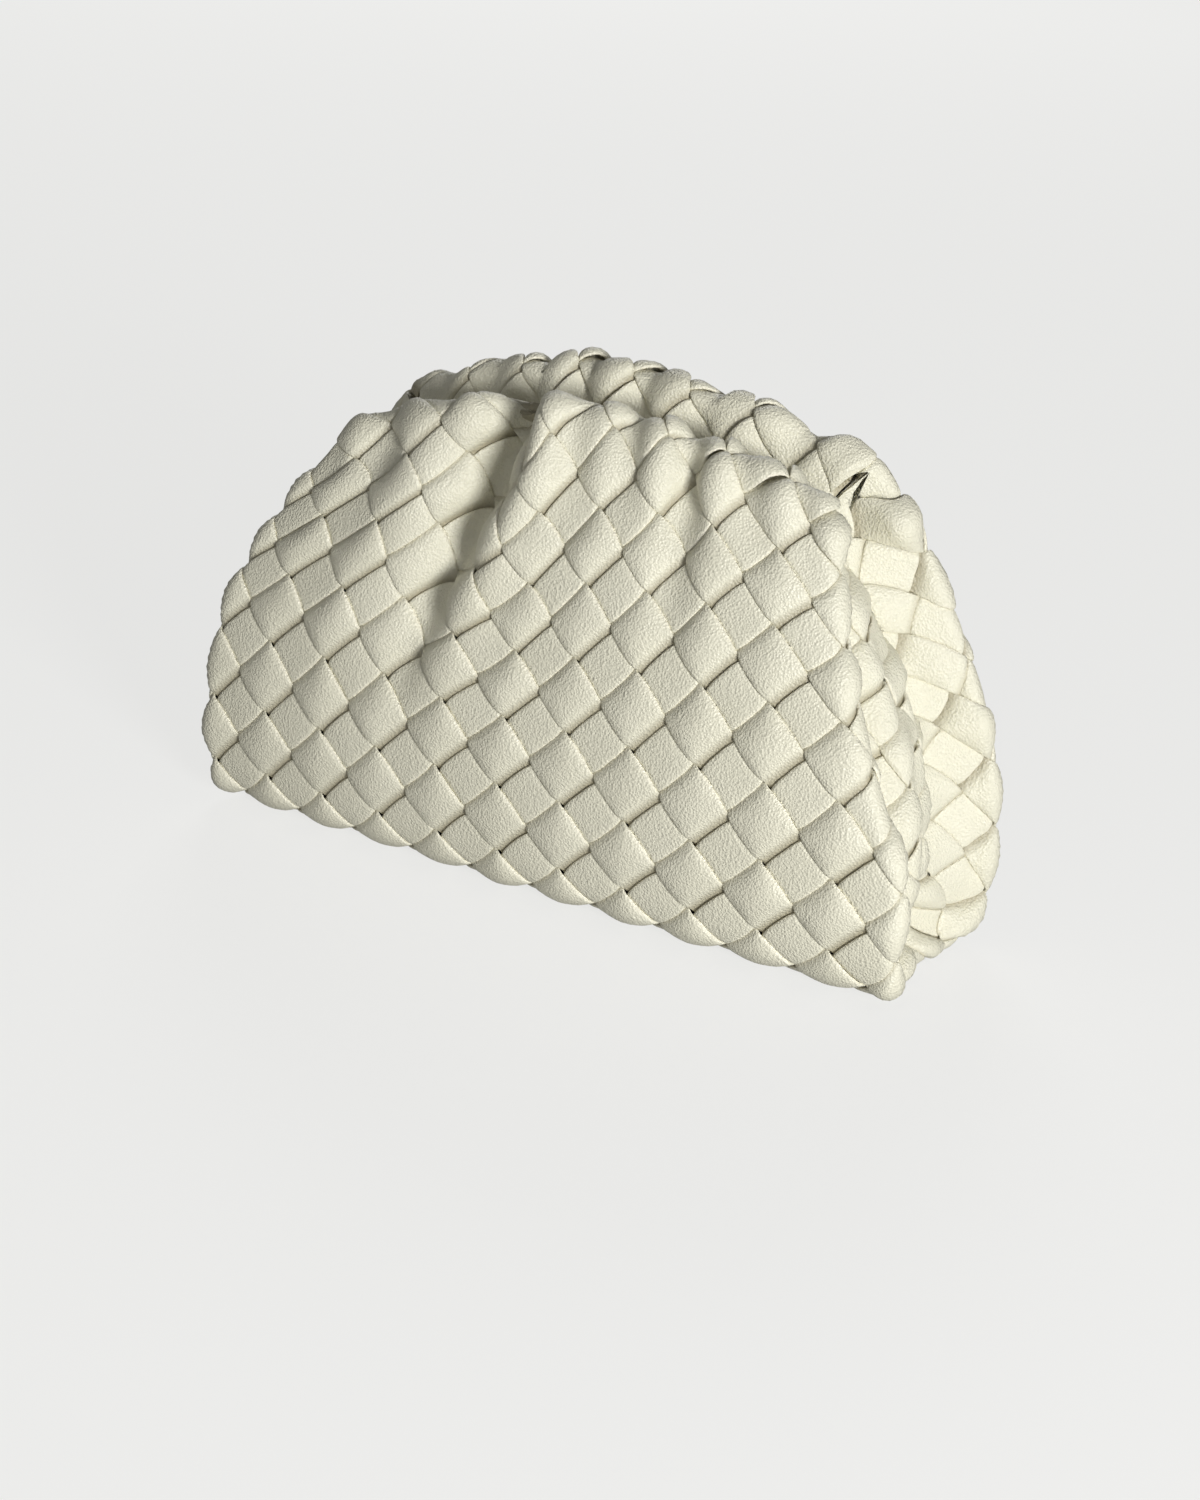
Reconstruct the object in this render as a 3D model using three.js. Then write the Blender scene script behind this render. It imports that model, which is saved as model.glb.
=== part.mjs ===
// A small gathered pouch bag of broad woven leather strips.
// One long woven sheet runs down the front, under the base and up the back. Its two
// ends turn round the rims and are tucked inwards between the panels. At the top both
// panels roll over into a closed, gathered mouth, held by a plain bar hidden between them.
// Millimetres, +X along the mouth, -Y to the front, +Z up, origin under the base.
import * as THREE from "three";

// Driving sizes
const BAG_WIDTH = 223; // over the two end rims
const BAG_HEIGHT = 135; // base to the crest of the front lip
const BAG_DEPTH = 70; // over the fullest part of front and back
const LEATHER = 2.4; // two crossing strips
const RIM_ROUND = 3.5; // how far a rim stands out past its panel's flat face
const BACK_LIP_RISE = 6; // the back lip stands this much higher
const MOUTH_DROP_RIGHT = 11; // the lips sink this much towards each end
const MOUTH_DROP_LEFT = 17;
const SEAM_GAP = 0.3; // clearance between neighbouring pieces
const MOUTH_CLEAR = 7; // an end's top edge lies this far below the lips
const GATHER_HEIGHT = 1.5; // the lip's crest rises between gathers by this
const GATHER_DEPTH = 10; // the deepest gather of the front
const GATHER_SPREAD = 10; // how far a broad gather spreads to each side
const GATHER_FILL = 4; // a gather this deep takes up the crest's rise
const TUCK_DEPTH = 20; // the deepest that a tucked end may lie inside its rim

const CLASP_LENGTH = 112;
const CLASP_HEIGHT = 8;
const CLASP_EDGE = 0.6; // rounding of the bar's edges

const LEATHER_COLOUR = 0xe6e1cb;
const METAL_COLOUR = 0xb9b6ae;

// The bag from the middle of its base, up one side, over the lip and into the mouth.
// depth is a share of half the bag's depth, height of its height, width of half its
// width, crown the share of depth lost at the rims. setBack and spine are the place of a
// tucked end's deepest line, as shares of half the bag's depth and of its height. pinch is
// how far the front's right rim stands out, or is drawn in where it is negative, as a
// share of half the width.
const SECTIONS = [
  { depth: 0.0, height: 0.0, width: 0.935, crown: 0.06, setBack: 0.0, spine: 0.115, pinch: 0.0 },
  { depth: 0.56, height: 0.0, width: 0.955, crown: 0.06, setBack: 0.04, spine: 0.13, pinch: 0.0 },
  { depth: 0.87, height: 0.05, width: 0.985, crown: 0.07, setBack: 0.1, spine: 0.165, pinch: 0.0 },
  { depth: 0.965, height: 0.14, width: 0.995, crown: 0.08, setBack: 0.18, spine: 0.21, pinch: 0.0 },
  { depth: 1.0, height: 0.27, width: 0.99, crown: 0.1, setBack: 0.28, spine: 0.295, pinch: 0.0 },
  { depth: 0.96, height: 0.44, width: 0.96, crown: 0.12, setBack: 0.34, spine: 0.43, pinch: -0.07 },
  { depth: 0.86, height: 0.62, width: 0.89, crown: 0.14, setBack: 0.3, spine: 0.59, pinch: -0.1 },
  { depth: 0.73, height: 0.79, width: 0.8, crown: 0.16, setBack: 0.2, spine: 0.75, pinch: -0.085 },
  { depth: 0.62, height: 0.9, width: 0.73, crown: 0.17, setBack: 0.13, spine: 0.85, pinch: -0.05 },
  { depth: 0.56, height: 0.95, width: 0.695, crown: 0.17, setBack: 0.11, spine: 0.89, pinch: -0.035 },
  { depth: 0.48, height: 0.984, width: 0.67, crown: 0.14, setBack: 0.09, spine: 0.92, pinch: -0.02 },
  { depth: 0.37, height: 0.998, width: 0.65, crown: 0.11, setBack: 0.07, spine: 0.94, pinch: 0.0 },
  { depth: 0.26, height: 0.988, width: 0.615, crown: 0.08, setBack: 0.07, spine: 0.94, pinch: 0.0 },
  { depth: 0.165, height: 0.955, width: 0.575, crown: 0.05, setBack: 0.07, spine: 0.94, pinch: 0.0 },
  { depth: 0.1, height: 0.9, width: 0.54, crown: 0.02, setBack: 0.07, spine: 0.94, pinch: 0.0 },
  { depth: 0.065, height: 0.85, width: 0.51, crown: 0.0, setBack: 0.07, spine: 0.94, pinch: 0.0 },
  { depth: 0.062, height: 0.79, width: 0.51, crown: 0.0, setBack: 0.07, spine: 0.94, pinch: 0.0 },
];
const BASE_ROW = 2; // where the base meets the panels
const CREST_ROW = 11;
const GATHERS_END_ROW = 14; // the gathers run out here, inside the mouth

// A tucked end turns round the rim first and then folds its way to its spine, the deepest
// line between front and back. way is the share of the distance left to the spine, the
// other columns how far each fold lies inside the rim at the base, the waist and the
// mouth, as shares of the tuck's depth.
const FRONT_FOLDS = [
  { way: 0.0, base: 0.085, waist: 0.085, mouth: 0.085 },
  { way: 0.05, base: 0.17, waist: 0.325, mouth: 0.2 },
  { way: 0.13, base: 0.23, waist: 0.55, mouth: 0.325 },
  { way: 0.22, base: 0.28, waist: 0.49, mouth: 0.38 },
  { way: 0.34, base: 0.33, waist: 0.27, mouth: 0.38 },
  { way: 0.46, base: 0.38, waist: 0.23, mouth: 0.39 },
  { way: 0.57, base: 0.42, waist: 0.38, mouth: 0.43 },
  { way: 0.68, base: 0.46, waist: 0.45, mouth: 0.48 },
  { way: 0.78, base: 0.5, waist: 0.44, mouth: 0.53 },
  { way: 0.9, base: 0.55, waist: 0.63, mouth: 0.58 },
  { way: 1.0, base: 0.58, waist: 0.71, mouth: 0.6 },
];
const BACK_FOLDS = [
  { way: 0.0, base: 0.085, waist: 0.085, mouth: 0.085 },
  { way: 0.05, base: 0.17, waist: 0.17, mouth: 0.15 },
  { way: 0.13, base: 0.23, waist: 0.23, mouth: 0.2 },
  { way: 0.22, base: 0.28, waist: 0.3, mouth: 0.25 },
  { way: 0.34, base: 0.33, waist: 0.41, mouth: 0.32 },
  { way: 0.46, base: 0.38, waist: 0.51, mouth: 0.39 },
  { way: 0.57, base: 0.42, waist: 0.59, mouth: 0.45 },
  { way: 0.68, base: 0.46, waist: 0.65, mouth: 0.5 },
  { way: 0.78, base: 0.5, waist: 0.69, mouth: 0.55 },
  { way: 0.9, base: 0.55, waist: 0.72, mouth: 0.59 },
  { way: 1.0, base: 0.58, waist: 0.71, mouth: 0.6 },
];
const LIP_FLATTER = 0.35; // the gathers lose this share of their depth at the lip
const LIP_FLATTENS = [0.85, 1]; // shares of the way up to the crest
const RUFFLE_RISES = [0.9, 1]; // shares of the height
const BACK_RISES = [0.4, 1];
const ENDS_DROP = [0.35, 1.1];
const RIM_TURN = [10, 45, 80, 115, 150]; // degrees of the turn round the rim
const TUCK_BLEND = { base: [0.04, 0.22], mouth: [0.55, 0.88] }; // shares of the height

// Gathers of a panel: top and foot are shares of half the bag's width, reach the share
// of the way up at which the fold starts, depth and spread are shares of the deepest
// gather's depth and of a broad gather's spread.
const FRONT_GATHERS = [
  { top: -0.17, foot: -0.4, reach: 0.36, depth: 1, spread: 0.85 },
  { top: -0.05, foot: -0.25, reach: 0.4, depth: -0.32, spread: 0.9 },
  { top: -0.47, foot: -0.6, reach: 0.72, depth: 0.26, spread: 0.7 },
  { top: 0.13, foot: 0.13, reach: 0.8, depth: 0.26, spread: 0.6 },
  { top: 0.31, foot: 0.33, reach: 0.56, depth: 0.52, spread: 0.65 },
  { top: 0.5, foot: 0.55, reach: 0.78, depth: 0.3, spread: 0.6 },
];
const BACK_GATHERS = [
  { top: -0.45, foot: -0.58, reach: 0.66, depth: 0.36, spread: 0.7 },
  { top: -0.24, foot: -0.34, reach: 0.5, depth: 0.6, spread: 0.75 },
  { top: -0.02, foot: -0.03, reach: 0.7, depth: 0.44, spread: 0.6 },
  { top: 0.2, foot: 0.27, reach: 0.48, depth: 0.65, spread: 0.8 },
  { top: 0.42, foot: 0.52, reach: 0.64, depth: 0.42, spread: 0.65 },
];

// Smooth steps and curves
const smoothstep = (low, high, x) => {
  const t = Math.min(1, Math.max(0, (x - low) / (high - low)));
  return t * t * (3 - 2 * t);
};
const mix = (a, b, t) => a + (b - a) * t;

// A curve through the knots, with slopes weighted by the neighbouring spans.
function throughKnots(knots, values) {
  const last = knots.length - 1;
  const span = knots.slice(1).map((k, i) => k - knots[i]);
  const rate = span.map((h, i) => (values[i + 1] - values[i]) / h);
  const slope = knots.map((_, i) => {
    if (i === 0) return rate[0];
    if (i === last) return rate[last - 1];
    return (rate[i - 1] * span[i] + rate[i] * span[i - 1]) / (span[i - 1] + span[i]);
  });
  return (x) => {
    let i = 0;
    while (i < last - 1 && x >= knots[i + 1]) i++;
    const t = (x - knots[i]) / span[i];
    const t2 = t * t;
    const t3 = t2 * t;
    return (
      (2 * t3 - 3 * t2 + 1) * values[i] +
      (t3 - 2 * t2 + t) * span[i] * slope[i] +
      (3 * t2 - 2 * t3) * values[i + 1] +
      (t3 - t2) * span[i] * slope[i + 1]
    );
  };
}

// Distance up the profile at each section row, as a share of the whole profile
const stations = SECTIONS.map(() => 0);
for (let i = 1; i < SECTIONS.length; i++) {
  const dy = ((SECTIONS[i].depth - SECTIONS[i - 1].depth) * BAG_DEPTH) / 2;
  const dz = (SECTIONS[i].height - SECTIONS[i - 1].height) * BAG_HEIGHT;
  stations[i] = stations[i - 1] + Math.hypot(dy, dz);
}
const PROFILE_LENGTH = stations[stations.length - 1];
const along = stations.map((s) => s / PROFILE_LENGTH);
const BASE_EDGE = along[BASE_ROW];
const CREST = along[CREST_ROW];
const GAP_SHARE = SEAM_GAP / PROFILE_LENGTH;

const column = (name) => throughKnots(along, SECTIONS.map((row) => row[name]));
const depthAt = column("depth");
const heightAt = column("height");
const widthAt = column("width");
const crownAt = column("crown");
const setBackAt = column("setBack");
const spineAt = column("spine");
const pinchAt = column("pinch");

const halfDepth = (t) => (depthAt(t) * BAG_DEPTH) / 2;
const halfWidth = (t) => (widthAt(t) * BAG_WIDTH) / 2;
// The turn round a rim starts on the panel's own slope, this far inside the rim.
const radians = (degrees) => (degrees * Math.PI) / 180;
const RIM_INSET = RIM_ROUND * (1 - Math.sin(radians(RIM_TURN[0])));

// How far the gathers push a panel inwards at a place across it.
function gatherDepth(gathers, t, x) {
  const up = Math.min(1, t / CREST);
  let sum = 0;
  for (const g of gathers) {
    const centre = (mix(g.foot, g.top, smoothstep(g.reach, 1, up)) * BAG_WIDTH) / 2;
    const off = (x - centre) / (g.spread * GATHER_SPREAD);
    sum += g.depth * GATHER_DEPTH * smoothstep(g.reach, 1, up) * Math.exp(-off * off);
  }
  return sum * (1 - LIP_FLATTER * smoothstep(...LIP_FLATTENS, up));
}

// A point of the outer face of the front (side -1) or back (side 1) panel:
// t runs up the profile, u across it from rim to rim.
function panelPoint(side, t, u) {
  const gathers = side < 0 ? FRONT_GATHERS : BACK_GATHERS;
  const pinch = side < 0 && u > 0 ? pinchAt(t) * u * u : 0;
  const x = (halfWidth(t) * (1 + pinch) - RIM_INSET) * u;
  const pushed = gatherDepth(gathers, t, x);
  const intoMouth = 1 - smoothstep(along[CREST_ROW - 2], along[GATHERS_END_ROW], t);
  const crowned = halfDepth(t) * (1 - crownAt(t) * Math.abs(u) ** 3);
  const up = Math.max(0, heightAt(t));
  const rise = side > 0 ? BACK_LIP_RISE * smoothstep(...BACK_RISES, up) : 0;
  const drop = u < 0 ? MOUTH_DROP_LEFT : MOUTH_DROP_RIGHT;
  const ruffle = GATHER_HEIGHT * smoothstep(...RUFFLE_RISES, up) * (1 - pushed / GATHER_FILL);
  const sunk = drop * smoothstep(...ENDS_DROP, up) * u * u;
  const z = up * BAG_HEIGHT + rise - sunk + ruffle;
  return new THREE.Vector3(x, side * (crowned - pushed * intoMouth), Math.max(0, z));
}

// The whole sheet at a rim: t runs from the front lip (-1) under the bag to the back (1).
const sheetPoint = (t, u) => panelPoint(t < 0 ? -1 : 1, Math.abs(t), u);

// A point of the outer face of a tucked end. t runs from the front lip (-1) under the bag
// to the back lip (1), rib counts from the rim (0) to the spine.
const turns = RIM_TURN.length - 1;
const ribCount = turns + FRONT_FOLDS.length - 1;
const turnWay = (degrees) => RIM_ROUND * (Math.cos(radians(RIM_TURN[0])) - Math.cos(radians(degrees)));
function foldInside(row, level) {
  const atWaist = smoothstep(...TUCK_BLEND.base, level);
  const atMouth = smoothstep(...TUCK_BLEND.mouth, level);
  return TUCK_DEPTH * mix(mix(row.base, row.waist, atWaist), row.mouth, atMouth);
}
function ribPoint(end, t, rib) {
  const up = Math.abs(t);
  const rim = sheetPoint(t, end);
  const drop = end < 0 ? MOUTH_DROP_LEFT : MOUTH_DROP_RIGHT;
  const spineDrop = drop * smoothstep(...ENDS_DROP, heightAt(up));
  const toSpine = new THREE.Vector3(
    0,
    (setBackAt(up) * BAG_DEPTH) / 2 - rim.y,
    spineAt(up) * BAG_HEIGHT - spineDrop - rim.z,
  );
  const distance = toSpine.length();
  let way;
  let inside;
  if (rib < turns) {
    const k = Math.floor(rib);
    const degrees = mix(RIM_TURN[k], RIM_TURN[k + 1], rib - k);
    way = turnWay(degrees);
    inside = RIM_ROUND * (1 - Math.sin(radians(degrees)));
  } else {
    const folds = t < 0 ? FRONT_FOLDS : BACK_FOLDS;
    const k = Math.min(folds.length - 2, Math.floor(rib - turns));
    const part = rib - turns - k;
    const turned = turnWay(RIM_TURN[turns]);
    const level = heightAt(up);
    way = turned + mix(folds[k].way, folds[k + 1].way, part) * (distance - turned);
    inside = mix(foldInside(folds[k], level), foldInside(folds[k + 1], level), part);
  }
  const toBack = t < 0 ? smoothstep(0, 1, way / distance) : 0;
  const outer = mix(Math.abs(rim.x), Math.abs(sheetPoint(up, end).x), toBack);
  const x = outer + RIM_INSET - inside;
  return new THREE.Vector3(end * x, rim.y, rim.z).addScaledVector(toSpine, way / distance);
}

// The outward direction of a surface point(p, q), from its slopes.
function outward(point, p, q, flip) {
  const step = 1e-3;
  const up = point(p + step, q).sub(point(p - step, q));
  const right = point(p, q + step).sub(point(p, q - step));
  return up.cross(right).normalize().multiplyScalar(flip ? -1 : 1);
}

// A leather wall under its outer face. point gives that face and direction its outward
// direction for every p and q in 0..1, p up the rows and q along the columns. flip tells
// on which side the wall lies. When paired is set the rows meet in pairs at the last
// column, which is left without an edge.
function leatherWall(point, direction, rows, columns, flip, paired = false) {
  const outer = [];
  const inner = [];
  for (let i = 0; i <= rows; i++) {
    for (let j = 0; j <= columns; j++) {
      const p = i / rows;
      const q = j / columns;
      const normal = direction(p, q);
      if (paired && j === columns) normal.add(direction(1 - p, q)).normalize();
      const here = point(p, q);
      outer.push(...here.toArray());
      inner.push(...here.addScaledVector(normal, -LEATHER).toArray());
    }
  }
  const wide = columns + 1;
  const count = (rows + 1) * wide;
  const index = [];
  const quad = (a, b, c, d) => {
    if (flip) index.push(a, c, b, a, d, c);
    else index.push(a, b, c, a, c, d);
  };
  for (let i = 0; i < rows; i++) {
    for (let j = 0; j < columns; j++) {
      const a = i * wide + j;
      quad(a, a + wide, a + wide + 1, a + 1);
      quad(count + a, count + a + 1, count + a + wide + 1, count + a + wide);
    }
    const a = i * wide;
    const b = a + columns;
    quad(a, count + a, count + a + wide, a + wide);
    if (!paired) quad(b, b + wide, count + b + wide, count + b);
  }
  for (let j = 0; j < columns; j++) {
    const b = rows * wide + j;
    quad(j, j + 1, count + j + 1, count + j);
    quad(b, count + b, count + b + 1, b + 1);
  }
  const geometry = new THREE.BufferGeometry();
  geometry.setAttribute("position", new THREE.Float32BufferAttribute([...outer, ...inner], 3));
  geometry.setIndex(index);
  geometry.computeVertexNormals();
  return geometry;
}

// The pieces
const leather = () =>
  new THREE.MeshStandardMaterial({ color: LEATHER_COLOUR, roughness: 0.55, metalness: 0 });

// One stretch of the sheet between two places on it, clear of its neighbours. Its edges
// point the way the whole sheet does there, so that they stay parallel to theirs.
function sheetPiece(from, to, rows, columns) {
  const half = GAP_SHARE / 2;
  const point = (p, q) => {
    const t = mix(from + half, to - half, p);
    const edge = 1 - SEAM_GAP / halfWidth(Math.abs(t));
    return sheetPoint(t, mix(-edge, edge, q));
  };
  const whole = (p, q) => sheetPoint(mix(from, to, p), mix(-1, 1, q));
  return leatherWall(point, (p, q) => outward(whole, p, q, false), rows, columns, false);
}

// A tucked end follows the rim from lip to lip. Its top edges lie lower towards the spine,
// clear of the lips that roll over them.
function endPiece(end, rows) {
  const top = CREST - GAP_SHARE;
  const point = (p, q) => {
    const rib = Math.max(0, q * ribCount);
    const lower = (MOUTH_CLEAR / PROFILE_LENGTH) * smoothstep(1, turns + 1, rib);
    return ribPoint(end, (2 * p - 1) * (top - lower), rib);
  };
  const panel = (p, q) => sheetPoint((2 * p - 1) * top, end * (2 * q - 1));
  const direction = (p, q) =>
    q === 0 ? outward(panel, p, 1, end < 0) : outward(point, p, q, end < 0);
  return leatherWall(point, direction, rows, ribCount, end < 0, true);
}

// The hidden bar that keeps the mouth shut lies between the two turned-in lips.
function claspPiece() {
  const slit = 2 * halfDepth(along[SECTIONS.length - 2]);
  const thick = slit - 2 * SEAM_GAP - 2 * CLASP_EDGE;
  const shape = new THREE.Shape();
  shape.moveTo(-thick / 2, -CLASP_HEIGHT / 2);
  shape.lineTo(thick / 2, -CLASP_HEIGHT / 2);
  shape.lineTo(thick / 2, CLASP_HEIGHT / 2);
  shape.lineTo(-thick / 2, CLASP_HEIGHT / 2);
  const geometry = new THREE.ExtrudeGeometry(shape, {
    depth: CLASP_LENGTH,
    bevelSize: CLASP_EDGE,
    bevelThickness: CLASP_EDGE,
    bevelSegments: 2,
  });
  geometry.translate(0, 0, -CLASP_LENGTH / 2);
  geometry.rotateY(Math.PI / 2);
  geometry.rotateX(Math.PI / 2);
  return geometry;
}

const bag = new THREE.Group();
function place(name, geometry, material = leather()) {
  const mesh = new THREE.Mesh(geometry, material);
  mesh.name = name;
  bag.add(mesh);
  return mesh;
}

place("front_lip", sheetPiece(-1, -CREST, 7, 36));
place("front_panel", sheetPiece(-CREST, -BASE_EDGE, 16, 36));
place("base", sheetPiece(-BASE_EDGE, BASE_EDGE, 8, 20));
place("back_panel", sheetPiece(BASE_EDGE, CREST, 14, 32));
place("back_lip", sheetPiece(CREST, 1, 7, 32));
place("tucked_end_right", endPiece(1, 34));
place("tucked_end_left", endPiece(-1, 34));

const clasp = place(
  "clasp_bar",
  claspPiece(),
  new THREE.MeshStandardMaterial({ color: METAL_COLOUR, roughness: 0.4, metalness: 0.9 }),
);
const lastLip = heightAt(along[SECTIONS.length - 2]) * BAG_HEIGHT;
clasp.position.set(0, 0, lastLip - CLASP_HEIGHT / 2);

export default bag;
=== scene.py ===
# %% [markdown]
# # A gathered pouch bag of woven leather
# The real bag is one long sheet, plaited on the slant from broad strips of soft leather.
# The sheet runs down the front, under the base and up the back. Its ends turn round the
# rims and are tucked in between the panels, and its top edges roll over into the mouth.
# The imported solids give the form and the size. They are loaded first.

# %% Start from the imported solids
import math

import bpy
import numpy as np
from mathutils import Matrix, Vector


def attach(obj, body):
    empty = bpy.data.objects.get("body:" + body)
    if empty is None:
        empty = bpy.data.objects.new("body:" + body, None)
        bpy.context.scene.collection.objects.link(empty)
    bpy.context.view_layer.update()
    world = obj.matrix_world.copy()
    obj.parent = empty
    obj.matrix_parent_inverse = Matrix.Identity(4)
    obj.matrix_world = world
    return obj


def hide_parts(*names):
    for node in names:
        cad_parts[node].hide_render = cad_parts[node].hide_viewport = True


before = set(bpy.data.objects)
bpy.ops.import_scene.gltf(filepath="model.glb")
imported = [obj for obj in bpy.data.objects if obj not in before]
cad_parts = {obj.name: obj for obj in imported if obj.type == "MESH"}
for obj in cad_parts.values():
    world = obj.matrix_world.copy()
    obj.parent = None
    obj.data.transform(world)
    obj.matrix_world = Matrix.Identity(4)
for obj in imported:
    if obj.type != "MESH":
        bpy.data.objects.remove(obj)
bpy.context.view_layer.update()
print("solids:", sorted(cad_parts))

# %% [markdown]
# ## The sizes
# A maker would note the bag's three sizes on one card. They and all lengths below are in
# millimetres, because the tables are easier to read so. The scene itself is in metres, so
# every finished point is scaled once, at the end. The other sizes come where they are
# first needed.

# %% The bag's sizes
MM = 0.001
BAG_WIDTH = 223.0
BAG_HEIGHT = 135.0
BAG_DEPTH = 70.0
print("bag:", BAG_WIDTH, "by", BAG_DEPTH, "by", BAG_HEIGHT, "mm")

# %% [markdown]
# ## The form
# A soft bag can be sculpted or simulated, but here it has to lie exactly in its solids, so
# it is lofted: one table gives the profile from the middle of the base, up a face, over
# the lip and into the mouth. Each row holds shares of the bag's own sizes: the depth and
# height of the profile, the half width, how much a rim draws in, and where the deepest
# line of a tucked end lies. The last column tells how far the front's right rim is drawn
# in above the waist: this soft bag is not quite even.

# %% The profile's table
SECTIONS = np.array([
    # depth, height, width, crown, set back, spine, pinch
    (0.0, 0.0, 0.935, 0.06, 0.0, 0.115, 0.0),
    (0.56, 0.0, 0.955, 0.06, 0.04, 0.13, 0.0),
    (0.87, 0.05, 0.985, 0.07, 0.1, 0.165, 0.0),
    (0.965, 0.14, 0.995, 0.08, 0.18, 0.21, 0.0),
    (1.0, 0.27, 0.99, 0.1, 0.28, 0.295, 0.0),
    (0.96, 0.44, 0.96, 0.12, 0.34, 0.43, -0.07),
    (0.86, 0.62, 0.89, 0.14, 0.3, 0.59, -0.1),
    (0.73, 0.79, 0.8, 0.16, 0.2, 0.75, -0.085),
    (0.62, 0.9, 0.73, 0.17, 0.13, 0.85, -0.05),
    (0.56, 0.95, 0.695, 0.17, 0.11, 0.89, -0.035),
    (0.48, 0.984, 0.67, 0.14, 0.09, 0.92, -0.02),
    (0.37, 0.998, 0.65, 0.11, 0.07, 0.94, 0.0),
    (0.26, 0.988, 0.615, 0.08, 0.07, 0.94, 0.0),
    (0.165, 0.955, 0.575, 0.05, 0.07, 0.94, 0.0),
    (0.1, 0.9, 0.54, 0.02, 0.07, 0.94, 0.0),
    (0.065, 0.85, 0.51, 0.0, 0.07, 0.94, 0.0),
    (0.062, 0.79, 0.51, 0.0, 0.07, 0.94, 0.0),
])
DEPTH, HEIGHT, WIDTH, CROWN, SET_BACK, SPINE, PINCH = range(7)
CREST_ROW = 11


def through_knots(knots, values, x):
    """A smooth curve through the knots, read at every x."""
    knots, values = np.asarray(knots, float), np.asarray(values, float)
    span = np.diff(knots)
    rate = np.diff(values) / span
    slope = np.empty_like(values)
    slope[0], slope[-1] = rate[0], rate[-1]
    slope[1:-1] = (rate[:-1] * span[1:] + rate[1:] * span[:-1]) / (span[1:] + span[:-1])
    i = np.clip(np.searchsorted(knots, x, side="right") - 1, 0, len(span) - 1)
    t = (x - knots[i]) / span[i]
    start = (2 * t**3 - 3 * t**2 + 1) * values[i] + (t**3 - 2 * t**2 + t) * span[i] * slope[i]
    end = (3 * t**2 - 2 * t**3) * values[i + 1] + (t**3 - t**2) * span[i] * slope[i + 1]
    return start + end


outwards = np.diff(SECTIONS[:, DEPTH]) * BAG_DEPTH / 2
upwards = np.diff(SECTIONS[:, HEIGHT]) * BAG_HEIGHT
profile_steps = np.hypot(outwards, upwards)
stations = np.concatenate([[0.0], np.cumsum(profile_steps)])
PROFILE = stations[-1]
CREST = stations[CREST_ROW]
print("profile from base to lip end: %.1f mm, crest at %.1f mm" % (PROFILE, CREST))


def section(column, t):
    """One column of the table at t millimetres up the profile."""
    return through_knots(stations, SECTIONS[:, column], t)


# %% [markdown]
# ## The gathers
# At the mouth the sheet is wider than the frame, so it is laid in folds that run down and
# fade out. The deepest one shows left of the middle of the front, leaning outwards as it
# falls, with a ridge that stands over it on its right. Each row gives where a fold starts
# at the mouth and where it ends, as shares of half the width, how far down it reaches, and
# its depth and spread as shares of the two sizes below. steep narrows its right side,
# which makes the deep fold overhang.

# %% Tables of the gathers
GATHER_DEPTH = 10.0
GATHER_SPREAD = 10.0
FRONT_GATHERS = [
    # top, foot, reach, depth, spread, steep
    (-0.17, -0.4, 0.36, 1.6, 1.0, 0.6),
    (-0.36, -0.62, 0.4, -0.3, 0.9, 1.0),
    (-0.05, -0.25, 0.4, -0.55, 0.75, 1.0),
    (-0.47, -0.6, 0.72, 0.26, 0.7, 1.0),
    (0.13, 0.13, 0.8, 0.26, 0.6, 1.0),
    (0.31, 0.33, 0.56, 0.52, 0.65, 1.0),
    (0.5, 0.55, 0.78, 0.3, 0.6, 1.0),
]
BACK_GATHERS = [
    (-0.45, -0.58, 0.66, 0.36, 0.7, 1.0),
    (-0.24, -0.34, 0.5, 0.6, 0.75, 1.0),
    (-0.02, -0.03, 0.7, 0.44, 0.6, 1.0),
    (0.2, 0.27, 0.48, 0.65, 0.8, 1.0),
    (0.42, 0.52, 0.64, 0.42, 0.65, 1.0),
]
print("gathers: %d in front, %d behind" % (len(FRONT_GATHERS), len(BACK_GATHERS)))

# %% [markdown]
# A fold grows with the height, and a depth below zero makes a ridge. Neighbours overlap a
# little, so their depths are added up. Over the lip the folds are pressed flatter.

# %% Depth of the gathers
LIP_FLATTER = 0.35
FLATTER_FROM = 0.85


def smoothstep(low, high, x):
    """0 below low, 1 above high, and an even bend between."""
    t = np.clip((x - low) / (high - low), 0.0, 1.0)
    return t * t * (3.0 - 2.0 * t)


def gather_depth(gathers, t, x):
    """How far the folds push a face inwards, t up the profile and x across it."""
    up = np.minimum(1.0, t / CREST)
    total = 0.0
    for top, foot, reach, depth, spread, steep in gathers:
        grown = smoothstep(reach, 1.0, up)
        centre = (foot + (top - foot) * grown) * BAG_WIDTH / 2
        off = (x - centre) / (spread * GATHER_SPREAD * np.where(x > centre, steep, 1.0))
        total = total + depth * GATHER_DEPTH * grown * np.exp(-(off**2))
    return total * (1.0 - LIP_FLATTER * smoothstep(FLATTER_FROM, 1.0, up))


deepest = float(gather_depth(FRONT_GATHERS, CREST, np.linspace(-0.4, 0.4, 81) * BAG_WIDTH).max())
print("deepest fold at the lip of the front: %.1f mm" % deepest)

# %% [markdown]
# ## A face of the bag
# Any point of a face follows from how far up the profile it is and how far across. The
# back lip stands higher than the front one, and both sink towards their ends.

# %% Points of a face
RIM_ROUND = 3.5
BACK_LIP_RISE = 6.0
MOUTH_DROP_RIGHT = 11.0
MOUTH_DROP_LEFT = 17.0
GATHER_HEIGHT = 1.5
GATHER_FILL = 4.0
GATHERS_END_ROW = 14
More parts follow.
